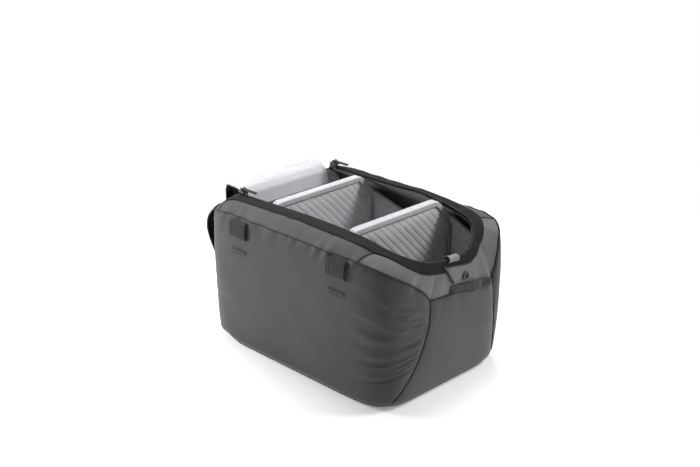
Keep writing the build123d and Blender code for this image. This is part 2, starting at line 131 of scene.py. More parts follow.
# ------------------------------------------------------------------ the bag's outline
angles = np.linspace(-math.pi / 2, 1.5 * math.pi, 8001)
squareness = np.where(np.cos(angles) < 0, 9.6, 7.6)    # the left corners are sharper
power = 2.0 / squareness
ring_x = half_length * np.sign(np.cos(angles)) * np.abs(np.cos(angles)) ** power
ring_y = half_depth * np.sign(np.sin(angles)) * np.abs(np.sin(angles)) ** power
steps = np.hypot(np.diff(ring_x), np.diff(ring_y))
ring_s = np.concatenate([[0.0], np.cumsum(steps)])
girth = ring_s[-1]


def outline(s):
    """The outline's x and y at a distance s round the bag from the front's middle."""
    s = np.mod(s, girth)
    return np.interp(s, ring_s, ring_x), np.interp(s, ring_s, ring_y)


def outward(s):
    """The outline's outward direction at s."""
    x0, y0 = outline(s - 1.5)
    x1, y1 = outline(s + 1.5)
    run = np.hypot(x1 - x0, y1 - y0)
    return (y1 - y0) / run, -(x1 - x0) / run


def around(x, y):
    """How far round the bag a place near the outline is, from -girth/2 to girth/2."""
    s = ring_s[np.argmin((ring_x - x) ** 2 + (ring_y - y) ** 2)]
    return s if s <= girth / 2 else s - girth


table_s = np.linspace(-girth / 2, girth / 2, 1200, endpoint=False)


def ring_table(keys, reach):
    """Values given at a few places round the bag, joined and eased into a closed curve."""
    places = [around(*place) for place, _ in keys]
    values = np.array([np.atleast_1d(value) for _, value in keys], float)
    curves = [np.interp(table_s, places, column, period=girth) for column in values.T]
    return np.stack([blur_ring(curve, reach) for curve in curves], axis=-1)


def look_up(table, s):
    """A ring table's values at s."""
    return np.stack([np.interp(s, table_s, column, period=girth) for column in table.T], -1)


# ------------------------------------------------------------------ seams and rim
# An end panel is a trapezoid: its upper corners, front and rear, as y and z.
corner_y, corner_z = -32.0, 117.0
rear_corner_y, rear_corner_z = 77.0, 111.0

# The top seam: a place on the outline, and the seam's height there. It dips at both ends.
front_y, rear_y = -half_depth, half_depth
seam_keys = []
for side in (-1, 1):
    end_x = side * half_length
    seam_keys += [
        ((side * 60, front_y), 174), ((side * 105, front_y), 174), ((side * 132, -103), 170.5),
        ((side * 141, -97), 166), ((side * 148, -82), 157), ((end_x, -64), 146),
        ((end_x, -44), 131), ((end_x, corner_y), corner_z),
        ((end_x, 0), 116), ((end_x, rear_corner_y), rear_corner_z),
        ((side * 149, 85), 138), ((side * 144, 95), 160), ((side * 132, 104), 170),
        ((side * 105, rear_y), 174), ((side * 60, rear_y), 174),
    ]
seam_table = ring_table(seam_keys, 3)

# The zip rim: a place on the outline, and the x, y and z of the rim above it. It lies well
# inside the outline, sags at the right end and is highest over the long sides.
rim_keys = [
    ((-133, -105), (-129, -84, 179)), ((-119, -108), (-118, -78, 186.5)),
    ((-50, front_y), (-50, -76, 187.5)), ((0, front_y), (0, -76, 189)),
    ((50, front_y), (50, -77, 189)), ((95, front_y), (95, -78, 188)),
    ((122, -108), (118, -76, 183)), ((141, -98), (131, -66, 176)),
    ((149, -75), (139, -50, 167)), ((half_length, -40), (143, -28, 159)),
    ((half_length, 0), (144, 0, 155)), ((half_length, 35), (143, 26, 152)),
    ((half_length, 62), (139, 46, 156)), ((149, 82), (130, 62, 167)),
    ((140, 99), (118, 73, 173)), ((118, 107), (102, 78, 177)),
    ((70, rear_y), (70, 79, 183)), ((30, rear_y), (31, 78, 189)),
    ((-8, rear_y), (-8, 77, 187)), ((-50, rear_y), (-49, 77, 187)),
    ((-119, 108), (-118, 78, 186.5)), ((-133, 105), (-129, 82, 179)),
    ((-149, 60), (-134, 58, 184)), ((-half_length, 0), (-134, 0, 187)),
    ((-149, -60), (-134, -58, 184)),
]
rim_table = ring_table(rim_keys, 9)


def seam_z(s):
    """Height of the top seam."""
    return look_up(seam_table, s)[..., 0]


def rim(s):
    """A point of the zip rim."""
    return look_up(rim_table, s)


# The curved seams beside an end panel, as y and z: the front one from the floor up, the rear
# one from the corner down.
slant_y = (-92.0, -86.0, -75.0, -63.0, -53.0, -44.0, -36.0, corner_y)
slant_z = (0.0, 11.0, 21.0, 34.0, 50.0, 69.0, 91.0, corner_z)
rear_slant_y = (rear_corner_y, 79.0, 82.0, 87.0, 92.0)
rear_slant_z = (rear_corner_z, 70.0, 40.0, 15.0, 0.0)


def end_seam_z(s):
    """Height of the seams between an end panel and the panels beside it."""
    y = outline(s)[1]
    front = np.interp(y, slant_y, slant_z)
    top = np.interp(y, (corner_y, rear_corner_y), (corner_z, rear_corner_z))
    rear = np.interp(y, rear_slant_y, rear_slant_z)
    return np.where(y < corner_y, front, np.where(y > rear_corner_y, rear, top))


# ------------------------------------------------------------------ the walls' surface
def bottom_radius(s):
    """The rounding under the walls: tight along the sides, more generous at the corners."""
    x, y = outline(s)
    corner = smooth((np.abs(x) - 112) / 30) * smooth((np.abs(y) - 66) / 34)
    left = smooth((-x - 105) / 40)
    return 12.0 + 2.0 * corner + 18.0 * left * (1 - corner)


def seam_valley(x, y, z, below):
    """How far the padded walls are drawn in along their seams."""
    side = smooth((np.abs(x) - 126) / 16) * smooth((corner_z + 6 - z) / 8)
    front = np.abs(y - np.interp(z, slant_z, slant_y))
    rear = np.abs(y - np.interp(z, rear_slant_z[::-1], rear_slant_y[::-1]))
    ends = 2.0 * side * (np.exp(-front / 5) + np.exp(-rear / 5))
    return ends + 1.6 * np.exp(-below / 4)


def folds(s, z):
    """How far the fabric's wrinkles stand out from the wall."""
    x, y = outline(s)
    below = np.maximum(seam_z(s) - z, 0)
    near_top = np.exp(-below / 13)
    pucker = np.sin(s / 5.2 + 3.0 * noise(s, z, 34, 3)) * (0.5 + 0.5 * noise(s, z, 46, 4))
    pucker = (0.8 * pucker + 1.1 * noise(s + 0.5 * below, below * 0.3, 8, 5)) * near_top
    edge = np.interp(z, slant_z, slant_y)
    front_end = smooth((np.abs(x) - 78) / 50) * smooth((edge - y + 3) / 14) * (y < 0)
    front_end *= np.where(x < 0, 0.3, 1.0)
    reach = np.hypot(x - np.sign(x) * 150, y - edge)
    fan = (z - 78) / (1 + reach / 95)
    lines = 1 - 2.4 * np.abs(noise(reach * 0.10 + 7, fan, 5.4, 11))
    lines += 0.6 - 1.4 * np.abs(noise(reach * 0.14 + 31, fan, 3.2, 12))
    middle = smooth((z - 14) / 30) * smooth((below - 14) / 30)
    body = noise(s, z, 75, 21) * 1.3 + noise(s, z, 30, 22) * 0.5
    wrinkles = front_end ** 1.5 * middle * lines * 0.85
    return pucker + wrinkles + body * smooth(z / 30) - seam_valley(x, y, z, below)


def wall(s, z, out=0.0):
    """A point of the outer wall at height z, moved out along the wall's normal."""
    x, y = outline(s)
    nx, ny = outward(s)
    radius = bottom_radius(s)
    lift = np.clip(z, 0, radius)
    inset = radius - np.sqrt(np.maximum(radius ** 2 - (radius - lift) ** 2, 0))
    height = np.clip(z / seam_z(s), 0, 1)
    bulge = 2.6 + 0.8 * smooth((nx - 0.5) / 0.4) - 2.4 * smooth((-nx - 0.5) / 0.4)
    belly = bulge * np.sin(math.pi * height) ** 0.8
    taper = 3.0 * (1 - height) ** 1.5
    stand = out + belly - taper + folds(s, z)
    px = x * (1 - inset / half_length) + nx * stand
    py = y * (1 - inset / half_depth) + ny * stand
    return np.stack([px, py, z + 0 * px], axis=-1)


def gusset(s, w, out=0.0):
    """A point of the top gusset: w runs from the top seam, 0, to the zip rim, 1."""
    start = wall(s, seam_z(s))
    end = rim(s)
    nx, ny = outward(s)
    lean = end - start
    run = np.linalg.norm(lean, axis=-1, keepdims=True)
    along_x = np.stack([-ny, nx, 0 * nx], axis=-1)
    normal = np.cross(along_x, lean / run)
    crown = np.sin(math.pi * np.clip(w, 0, 1))
    puff = 3.2 * crown ** 0.9 + noise(s, w * 40, 16, 31) * 0.9 * crown
    ease = w + 0.10 * np.sin(math.pi * w)
    place = start + lean * ease[..., None]
    return place + normal * (puff + out)[..., None]


# ------------------------------------------------------------------ mesh builders
def shade_smooth(piece):
    """Shades a piece's faces as one smooth surface."""
    piece.data.polygons.foreach_set("use_smooth", [True] * len(piece.data.polygons))


def finish_mesh(name, verts, faces, uvs, material, body, stands_for=(), slot=None):
    """Makes a smooth mesh piece in metres, with its material, riding on a body."""
    mesh = bpy.data.meshes.new(name)
    mesh.from_pydata((np.asarray(verts) * MM).tolist(), [], faces)
    if uvs is not None:
        layer = mesh.uv_layers.new(name="cloth")
        corner = np.empty(len(mesh.loops), dtype=np.int32)
        mesh.loops.foreach_get("vertex_index", corner)
        layer.data.foreach_set("uv", np.asarray(uvs, dtype=np.float32)[corner].ravel())
    mesh.validate()
    piece = bpy.data.objects.new(name, mesh)
    bpy.context.collection.objects.link(piece)
    shade_smooth(piece)
    piece.data.materials.append(material)
    if body:
        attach(piece, body)
    if stands_for:
        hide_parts(*stands_for)
    return piece


def weld(piece, distance, closed):
    """Joins points that lie on one another, and turns a closed shape's faces outwards."""
    work = bmesh.new()
    work.from_mesh(piece.data)
    bmesh.ops.remove_doubles(work, verts=work.verts, dist=distance * MM)
    if closed:
        bmesh.ops.dissolve_degenerate(work, dist=distance / 5 * MM, edges=work.edges)
        bmesh.ops.recalc_face_normals(work, faces=work.faces)
    work.to_mesh(piece.data)
    work.free()
    shade_smooth(piece)


def grid_faces(rows, columns, wrap=False):
    """Quads over a grid of points."""
    index = np.arange(rows * columns).reshape(rows, columns)
    if wrap:
        index = np.concatenate([index, index[:, :1]], axis=1)
    quads = np.stack([index[:-1, :-1], index[:-1, 1:], index[1:, 1:], index[1:, :-1]], -1)
    return quads.reshape(-1, 4).tolist()


def sheet(name, points, uvs, material, body, thick, stands_for, slot, wrap=False,
          backing=None, offset=-1.0):
    """A fabric sheet from a grid of points, thickened inwards, or both ways at offset 0."""
    rows, columns = points.shape[:2]
    faces = grid_faces(rows, columns, wrap)
    piece = finish_mesh(
        name, points.reshape(-1, 3), faces, uvs.reshape(-1, 2) * MM, material, body,
        stands_for, slot,
    )
    weld(piece, 0.02, closed=False)
    solid = piece.modifiers.new("thickness", "SOLIDIFY")
    solid.thickness = thick * MM
    solid.offset = offset
    if backing:
        piece.data.materials.append(backing)
        solid.material_offset = 1
        solid.material_offset_rim = 1
    return piece


def tube_mesh(path, radius, sides=8, flat=1.0, closed=False):
    """Points and faces of a round cord along a path; flat squashes its height."""
    path = np.asarray(path, float)
    count = len(path)
    if closed:
        tangent = np.roll(path, -1, axis=0) - np.roll(path, 1, axis=0)
    else:
        tangent = np.gradient(path, axis=0)
    tangent = unit(tangent)
    side = np.cross(tangent, (0.0, 0.0, 1.0))
    upright = np.linalg.norm(side, axis=1) < 0.05
    side[upright] = np.cross(tangent[upright], (1.0, 0.0, 0.0))
    side = unit(side)
    up = np.cross(side, tangent)
    turn = np.linspace(0, 2 * math.pi, sides, endpoint=False)
    radius = np.broadcast_to(np.asarray(radius, float), (count,))
    ring = (
        np.cos(turn)[None, :, None] * side[:, None, :]
        + flat * np.sin(turn)[None, :, None] * up[:, None, :]
    )
    verts = (path[:, None, :] + radius[:, None, None] * ring).reshape(-1, 3)
    index = np.arange(count * sides).reshape(count, sides)
    rows = np.concatenate([index, index[:1]]) if closed else index
    after = np.roll(rows, -1, axis=1)
    faces = np.stack([rows[:-1], after[:-1], after[1:], rows[1:]], -1).reshape(-1, 4).tolist()
    if not closed:
        faces += [index[0, ::-1].tolist(), index[-1].tolist()]
    return verts, faces


def join(meshes):
    """Several (points, faces) pairs as one."""
    verts, faces, start = [], [], 0
    for points, quads in meshes:
        verts.append(points)
        faces += [[i + start for i in face] for face in quads]
        start += len(points)
    return np.concatenate(verts), faces


def cord(name, paths, radius, material, body, stands_for=(), slot=None, **shape):
    """One piece made of cords along one or more paths."""
    verts, faces = join([tube_mesh(path, radius, **shape) for path in paths])
    uvs = pair(verts[:, 0] + verts[:, 1], verts[:, 2]) * MM
    piece = finish_mesh(name, verts, faces, uvs, material, body, stands_for, slot)
    weld(piece, 0.001, closed=True)


def stitch_row(path, pitch, length, radius, lift=(0, 0, 0)):
    """A row of thread stitches laid along a path."""
    path = np.asarray(path, float) + lift
    rows = []
    for start in np.arange(pitch / 2, distances(path)[-1] - length, pitch):
        points = points_at(path, start + length * np.linspace(0, 1, 4))
        rows.append(tube_mesh(points, radius * np.array([0.5, 1.0, 1.0, 0.5]), sides=5))
    return rows


def sew(name, rows, slot, body=BODY):
    """One piece made of rows of stitches."""
    return finish_mesh(name, *join(rows), None, thread, body, slot=slot)


# ------------------------------------------------------------------ materials
def new_material(name):
    """A material, its nodes, its links and its shader."""
    material = bpy.data.materials.new(name)
    material.use_nodes = True
    nodes = material.node_tree.nodes
    return material, nodes, material.node_tree.links, nodes["Principled BSDF"]


def add_node(nodes, kind, **values):
    """A shader node with some inputs set. An underscore stands for a space in their names."""
    node = nodes.new("ShaderNode" + kind)
    for name, value in values.items():
        node.inputs[name.replace("_", " ")].default_value = value
    return node


def grey_ramp(nodes, links, value, low, high):
    """Turns a 0..1 value into a grey between low and high."""
    ramp = nodes.new("ShaderNodeValToRGB")
    for element, place, grey in zip(ramp.color_ramp.elements, (0.25, 0.75), (low, high)):
        element.color = (grey, grey, grey * 1.02, 1)
        element.position = place
    links.new(value, ramp.inputs["Fac"])
    return ramp.outputs["Color"]


def multiplied(nodes, links, colour, by, amount):
    """A colour multiplied by another, to some amount."""
    mix = add_node(nodes, "MixRGB", Fac=amount)
    mix.blend_type = "MULTIPLY"
    links.new(colour, mix.inputs["Color1"])
    links.new(by, mix.inputs["Color2"])
    return mix.outputs["Color"]


def add_relief(nodes, links, shader, height, strength, depth):
    """Fine bumps in the surface, depth in metres."""
    relief = add_node(nodes, "Bump", Strength=strength, Distance=depth)
    links.new(height, relief.inputs["Height"])
    links.new(relief.outputs["Normal"], shader.inputs["Normal"])


def add_roughness(nodes, links, shader, value, low, high):
    """A roughness that runs from low to high with a 0..1 value."""
    rough_map = add_node(nodes, "MapRange", To_Min=low, To_Max=high)
    links.new(value, rough_map.inputs["Value"])
    links.new(rough_map.outputs["Result"], shader.inputs["Roughness"])


def fabric(name, grey, thread_mm, rough, sheen, bump, coordinate="UV", vary=0.18,
           ribbed=False, weave_tint=0.16):
    """Woven cloth: crossed threads, fine slubs, soft patches of wear and a dull sheen."""
    material, nodes, links, shader = new_material(name)
    place = nodes.new("ShaderNodeTexCoord")
    threads = []
    for direction in ("X",) if ribbed else ("X", "Y"):
        wave = add_node(nodes, "TexWave", Scale=1000.0 / thread_mm / 20.0 * math.pi,
                        Distortion=0.6, Detail=1.0, Detail_Scale=2.0)
        wave.bands_direction = direction
        links.new(place.outputs[coordinate], wave.inputs["Vector"])
        threads.append(wave.outputs["Fac"])
    weave = threads[0]
    if not ribbed:
        both = nodes.new("ShaderNodeMath")
        both.operation = "MULTIPLY"
        links.new(threads[0], both.inputs[0])
        links.new(threads[1], both.inputs[1])
        weave = both.outputs["Value"]
    slub = add_node(nodes, "TexNoise", Scale=900.0, Detail=3.0)
    patch = add_node(nodes, "TexNoise", Scale=22.0, Detail=4.0)
    for spots in (slub, patch):
        links.new(place.outputs["Object"], spots.inputs["Vector"])
    base = grey_ramp(nodes, links, patch.outputs["Fac"], grey * (1 - vary), grey * (1 + vary))
    grain = grey_ramp(nodes, links, slub.outputs["Fac"], 0.72, 1.25)
    colour = multiplied(nodes, links, base, grain, 0.8)
    shade = grey_ramp(nodes, links, weave, 0.62, 1.2)
    colour = multiplied(nodes, links, colour, shade, weave_tint)
    links.new(colour, shader.inputs["Base Color"])
    height = nodes.new("ShaderNodeMath")
    height.operation = "MULTIPLY_ADD"
    height.inputs[1].default_value = 0.35
    links.new(slub.outputs["Fac"], height.inputs[0])
    links.new(weave, height.inputs[2])
    add_relief(nodes, links, shader, height.outputs["Value"], bump, 0.0004)
    add_roughness(nodes, links, shader, patch.outputs["Fac"], rough - 0.1, min(rough + 0.1, 1.0))
    shader.inputs["Sheen Weight"].default_value = sheen
    shader.inputs["Sheen Roughness"].default_value = 0.5
    shader.inputs["Specular IOR Level"].default_value = 0.25
    return material


def hard(name, grey, rough, metallic):
    """Metal or moulded plastic with faint scratches and uneven polish."""
    material, nodes, links, shader = new_material(name)
    place = nodes.new("ShaderNodeTexCoord")
    marks = add_node(nodes, "TexNoise", Scale=700.0, Detail=6.0)
    links.new(place.outputs["Object"], marks.inputs["Vector"])
    colour = grey_ramp(nodes, links, marks.outputs["Fac"], grey * 0.8, grey * 1.2)
    links.new(colour, shader.inputs["Base Color"])
    add_roughness(nodes, links, shader, marks.outputs["Fac"], max(rough - 0.1, 0.05), rough + 0.15)
    add_relief(nodes, links, shader, marks.outputs["Fac"], 0.15, 0.0002)
    shader.inputs["Metallic"].default_value = metallic
    return material


# Cloth: grey, thread width in millimetres, roughness, sheen and bump.
shell_cloth = fabric("shell_cloth", 0.040, 1.2, 0.55, 0.15, 0.22)
end_cloth = fabric("end_cloth", 0.060, 1.1, 0.8, 0.3, 0.3)
gusset_cloth = fabric("gusset_cloth", 0.062, 1.2, 0.6, 0.2, 0.22)
# A lighter copy of the gusset cloth for the right gusset: painted light, standing in for lamp light
# from the rear right on the same fabric.
gusset_cloth_painted_lit = fabric("gusset_cloth_painted_lit", 0.125, 1.2, 0.6, 0.2, 0.22)
base_cloth = fabric("base_cloth", 0.05, 1.6, 0.7, 0.1, 0.4)
piping_cloth = fabric("piping_cloth", 0.022, 0.9, 0.8, 0.1, 0.3)
tape_cloth = fabric("tape_cloth", 0.006, 1.0, 0.8, 0.03, 0.35, ribbed=True, weave_tint=0.4)
webbing_cloth = fabric("webbing_cloth", 0.035, 1.6, 0.75, 0.2, 0.5, coordinate="Object")
patch_cloth = fabric("patch_cloth", 0.15, 1.4, 0.8, 0.3, 0.4)
garage_cloth = fabric("garage_cloth", 0.20, 0.8, 0.6, 0.3, 0.2)
quilt_cloth = fabric("quilt_cloth", 0.60, 0.9, 0.95, 0.6, 0.2, coordinate="Object", vary=0.06)
binding_cloth = fabric("binding_cloth", 0.56, 0.7, 0.85, 0.4, 0.2, coordinate="Object", vary=0.05)
pale_lining = fabric("pale_lining", 0.56, 0.8, 0.7, 0.3, 0.15, vary=0.05)
dark_lining = fabric("dark_lining", 0.032, 0.9, 0.9, 0.3, 0.3)
facing_cloth = fabric("facing_cloth", 0.11, 0.8, 0.8, 0.2, 0.3)
pad_lining = fabric("pad_lining", 0.36, 1.0, 0.95, 0.5, 0.25, vary=0.08)
thread = fabric("thread", 0.018, 0.5, 0.6, 0.1, 0.1, coordinate="Object")
hook_stuff = fabric("hook_stuff", 0.06, 1.2, 0.9, 0.1, 0.8, coordinate="Object")
# Hard stuff: grey, roughness and how metallic it is.
coil_plastic = hard("coil_plastic", 0.02, 0.4, 0.0)
slider_metal = hard("slider_metal", 0.06, 0.35, 0.8)
black_metal = hard("black_metal", 0.015, 0.35, 0.6)
board_plastic = hard("board_plastic", 0.06, 0.6, 0.0)


# ------------------------------------------------------------------ outer panels
def columns(start, end, pitch):
    """Even places from start to end, about a pitch apart."""
    return np.linspace(start, end, max(int(abs(end - start) / pitch), 2))


def wall_panel(side, kind, start, end, low, high):
    """A wall panel between two places round the bag, from low(s) up to high(s)."""
    if kind == "end":
        node, material, slot = f"{side}_end_panel", end_cloth, "end_fabric"
    else:
        node, material, slot = f"{side}_panel", shell_cloth, "shell_fabric"
    s = columns(start, end, 1.6)
    v = np.linspace(0, 1, 100)[:, None]
    z = low(s) + (high(s) - low(s)) * v ** 1.15
    across = s + 0 * z
    sheet(f"{side}_{kind}_cloth", wall(across, z), pair(across, z), material, BODY, 1.8,
          (node, f"{side}_foam"), slot)


# Where the end panel's corners and feet lie round the bag.
tip = around(half_length, corner_y)
rear_tip = around(half_length, rear_corner_y)
toe = around(half_length, slant_y[0])
heel = around(half_length, rear_slant_y[-1])


def zero(s):
    """The floor's height, at every s."""
    return 0.0 * s


def folded(s):
    """How far a place is from the front's middle, whichever way round the bag is shorter."""
    return np.minimum(s, girth - s)


def front_low(s):
    """Lower edge of the front panel: the floor, then up the end seam."""
    return np.where(np.abs(s) < toe, 0.0, end_seam_z(np.abs(s)))


def rear_low(s):
    """Lower edge of the rear panel."""
    return np.where(folded(s) > heel, 0.0, end_seam_z(folded(s)))


def left_end_seam_z(s):
    """Upper edge of the left end panel, which mirrors the right one."""
    return end_seam_z(girth - s)


wall_panel("front", "panel", -tip, tip, front_low, seam_z)
wall_panel("rear", "panel", rear_tip, girth - rear_tip, rear_low, seam_z)
wall_panel("right", "end", toe, heel, zero, end_seam_z)
wall_panel("left", "end", girth - heel, girth - toe, zero, left_end_seam_z)


def rings(pitch, scales, height):
    """Rings of points inside the walls' lower edge: the edge scaled, at a height each."""
    s = columns(0, girth, pitch)[:-1]
    rows = []
    for scale in scales:
        ring = wall(s, zero(s))
        ring[:, :2] *= scale
        ring[:, 2] = height(ring, scale)
        rows.append(ring)
    return np.stack(rows)


base_rings = rings(4.0, [1.0, *np.linspace(0.93, 0.0, 14)], lambda ring, scale: 0.35 * (1 - scale))
sheet("base_cloth_panel", base_rings, base_rings[..., :2], base_cloth, BODY, 1.6, ("base_panel",),
      "base_fabric", wrap=True)


# ------------------------------------------------------------------ top gussets
def gusset_panel(name, start, end, material, node):
    """A gusset panel between two seams whose place round the bag shifts with height."""
    w = np.linspace(0, 1, 36)
    first, last = start(w), end(w)
    count = max(int(np.max(np.abs(last - first)) / 1.6), 3)
    s = first[:, None] + (last - first)[:, None] * np.linspace(0, 1, count)
    up = w[:, None] + 0 * s
    sheet(name, gusset(s, up), pair(s, 200 + 30 * up), material, BODY, 1.6, (node,), "gusset_fabric")


# Where the seams across the gusset start and end round the bag.
seam_foot = around(108, front_y)
seam_head = around(139, -99)
rear_foot = around(125, 107)
rear_head = around(140, 99)
left_foot = around(-128, -107)
left_rear = around(-128, 107) % girth


def front_right_seam(w):
    """The curved seam at the front right corner, round the bag at w up the gusset."""
    return seam_foot + (seam_head - seam_foot) * w ** 1.7


def rear_right_seam(w):
    """The seam at the rear right corner."""
    return rear_foot + (rear_head - rear_foot) * w


def fixed(value):
    """A seam that stays at one place round the bag."""
    return lambda w: value + 0.0 * w


# The right gusset takes the lighter copy of the gusset cloth, which is painted light.
for side, first_seam, last_seam, cloth in (
    ("front", fixed(left_foot), front_right_seam, gusset_cloth),
    ("right", front_right_seam, rear_right_seam, gusset_cloth_painted_lit),
    ("rear", rear_right_seam, fixed(left_rear), gusset_cloth),
    ("left", fixed(left_rear), fixed(left_foot + girth), gusset_cloth),
):
    gusset_panel(f"{side}_gusset_cloth", first_seam, last_seam, cloth, f"{side}_top_gusset")


# ------------------------------------------------------------------ piping in the seams
def seam_line(s, height, out):
    """A line along the wall at a height that depends on the place round the bag."""
    return wall(s, height(s), out)


def end_height(s):
    """Height of an end's seams, for a place at the left or the right end."""
    return end_seam_z(folded(np.abs(s)))


front_s = columns(-tip, tip, 2.0)
rear_s = columns(rear_tip, girth - rear_tip, 2.0)
end_front_s = columns(toe + 3, tip, 1.5)
end_rear_s = columns(rear_tip, heel - 3, 1.5)
front_seams = [seam_line(front_s, seam_z, 0.5)]
front_seams += [seam_line(s, end_height, 0.5) for s in (end_front_s, -end_front_s)]
rear_seams = [seam_line(rear_s, seam_z, 0.5)]
rear_seams += [seam_line(s, end_height, 0.5) for s in (end_rear_s, girth - end_rear_s)]
cord("front_piping", front_seams, 1.15, piping_cloth, BODY, ("front_seam_piping",), "piping")
cord("rear_piping", rear_seams, 1.15, piping_cloth, BODY, ("rear_seam_piping",), "piping")

gusset_seams = []
for seam, count, out in (
    (front_right_seam, 40, 0.2), (rear_right_seam, 40, 0.2),
    (fixed(left_foot), 30, 0.1), (fixed(left_rear), 30, 0.1),
):
    w = np.linspace(0, 1, count)
    gusset_seams.append(gusset(seam(w), w, out))
cord("gusset_seams", gusset_seams, 0.8, piping_cloth, BODY, slot="piping")

for label, start, end in (("right", tip, rear_tip), ("left", girth - rear_tip, girth - tip)):
    line = seam_line(columns(start, end, 2.0), end_height, 0.3)
    cord(f"{label}_end_top_seam", [line], 0.9, piping_cloth, BODY, slot="piping")
base_line = columns(0, girth, 4.0)[:-1]
cord("base_seam", [wall(base_line, zero(base_line) + 2.2, 0.1)], 0.8, piping_cloth, BODY,
     slot="piping", closed=True)

# ------------------------------------------------------------------ zip on the body
zip_start, zip_end = around(-129, -106), around(-129, 106) % girth
zip_s = columns(zip_start, zip_end, 1.6)
TAPE_WIDTH, LID_TAPE_WIDTH = 16.0, 17.0


def tape_point(s, across, out):
    """A point of the zip tape: across runs from the coil outwards, in millimetres."""
    start = wall(s, seam_z(s))
    run = np.linalg.norm(rim(s) - start, axis=-1)
    w = 1 - across / run
    return gusset(s, w, out)


def zip_tape_piece():
    """The tape round the opening, and its two rows of stitches."""
    across = np.linspace(TAPE_WIDTH, -1.0, 12)[:, None] + 0 * zip_s
    s = zip_s + 0 * across
    points = tape_point(s, across, 0.9 + 0.25 * noise(s, across, 14, 41))
    sheet("zip_tape_cloth", points, pair(s, across), tape_cloth, BODY, 0.9, ("zip_tape",), "zip_tape")
    stitches = []
    for row in (14.4, 4.6):
        stitches += stitch_row(tape_point(zip_s, row + 0 * zip_s, 1.1), 3.4, 2.4, 0.26)
    sew("tape_stitches", stitches, "zip_tape")


zip_tape_piece()


def coil_mesh(path, radius=1.35, wire=0.42, pitch=1.7):
    """A zip coil: one wire wound in a helix along the path."""
    length = distances(path)[-1]
    t = np.linspace(0, length, int(length / pitch * 9))
    centre = points_at(path, t)
    tangent = unit(np.gradient(centre, axis=0))
    side = np.cross(tangent, (0.0, 0.0, 1.0))
    side /= np.maximum(np.linalg.norm(side, axis=1, keepdims=True), 1e-6)
    up = np.cross(side, tangent)
    phase = 2 * math.pi * t / pitch
    helix = centre + radius * (np.cos(phase)[:, None] * side + np.sin(phase)[:, None] * up * 0.8)
    return tube_mesh(helix, wire, sides=5)


def coil_piece(name, paths, body, stands_for=()):
    """Coils, each with the cord that its wire is wound round."""
    meshes = []
    for path in paths:
        meshes += [coil_mesh(path), tube_mesh(path, 0.95)]
    return finish_mesh(name, *join(meshes), None, coil_plastic, body, stands_for, "zip_coil")


coil_piece("body_zip_coil", [rim(zip_s) + (0, 0, 0.4)], BODY, ("zip_coil",))

# ------------------------------------------------------------------ inside of the bag
WALL_THICKNESS = 7.0                    # padding between the outer cloth and the lining


def inside(s, w):
    """The lining: down from the rim, down the wall, and over the floor to the middle."""
    x, y = outline(s)
    nx, ny = outward(s)
    out = np.stack([nx, ny, 0 * nx], axis=-1)
    wall_line = np.stack([x, y, 0 * x], axis=-1)
    up = np.array([0.0, 0.0, 1.0])
    under_rim = rim(s) - out * 1.2 - up * 2.0
    wall_top = wall_line - out * (WALL_THICKNESS + 2) + up * (seam_z(s) - 8)[..., None]
    middle = (under_rim + wall_top) / 2 + out * 3.0
    low = wall_line - out * WALL_THICKNESS + up * 26
    squeeze = 1 - 16 / half_depth
    foot = wall_line * (squeeze * 0.985, squeeze, 0) + up * floor_height
    stations = (under_rim, middle, wall_top, low, foot, up * floor_height)
    places = (0.0, 0.12, 0.24, 0.62, 0.72, 1.0)
    result = 0 * wall_line
    for k in range(5):
        t = (w - places[k]) / (places[k + 1] - places[k])
        value = stations[k] + (stations[k + 1] - stations[k]) * t[..., None]
        result = np.where(((w >= places[k]) & (w <= places[k + 1]))[..., None], value, result)
    return result


def lining_piece(name, start, end, low_w, high_w, material, stands_for, slot):
    """A length of the lining, from start to end round the bag and from low_w to high_w down."""
    s = columns(start, end, 3.0)
    w = np.linspace(low_w, high_w, max(int((high_w - low_w) * 70), 6))
    across, down = np.meshgrid(s, w)
    points = inside(across, down)
    for _ in range(2):
        points[1:-1] = (points[:-2] + 2 * points[1:-1] + points[2:]) / 4
    soft = noise(across, down * 300, 30, 51) * smooth(down / 0.1) * smooth((1 - down) / 0.1) * 0.9
    soft += np.sin(across / 5.5 + 2 * noise(across, down, 40, 52)) * np.exp(-down / 0.05) * 0.5
    nx, ny = outward(across)
    points = points + np.stack([nx, ny, 0 * nx], -1) * soft[..., None]
    points[..., 2] = np.maximum(points[..., 2], floor_height)
    uvs = pair(across, down * 420)
    sheet(name, points[:, ::-1], uvs[:, ::-1], material, BODY, 1.0, stands_for, slot)


long_way = (left_foot, left_rear)
short_way = (left_rear, left_foot + girth)
for name, way, first_w, last_w, cloth, nodes, slot in (
    ("rim_facing", long_way, 0.0, 0.08, facing_cloth, (), "dark_lining"),
    ("wall_lining_dark", long_way, 0.075, 0.36, dark_lining, ("interior_lining",), "dark_lining"),
    ("wall_lining_pad", long_way, 0.355, 1.0, pad_lining, ("base_foam",), "dark_lining"),
    ("left_lining_pale", short_way, 0.0, 0.5, pale_lining, (), "light_lining"),
    ("left_lining_pad", short_way, 0.495, 1.0, pad_lining, (), "dark_lining"),
):
    lining_piece(name, *way, first_w, last_w, cloth, nodes, slot)

# ------------------------------------------------------------------ cloth-simulated pads
def plain_mesh(piece):
    """Swaps a piece's mesh for the one its modifiers make."""
    graph = bpy.context.evaluated_depsgraph_get()
    made = bpy.data.meshes.new_from_object(piece.evaluated_get(graph))
    piece.modifiers.clear()
    piece.data = made
    return piece


def read_points(mesh, what="co"):
    """A mesh's points, or their normals, as an array."""
    values = np.empty(len(mesh.vertices) * 3)
    mesh.vertices.foreach_get(what, values)
    return values.reshape(-1, 3)


def set_positions(mesh, points):
    """Moves a mesh's points to new places, in metres."""
    mesh.vertices.foreach_set("co", points.ravel())
    mesh.update()


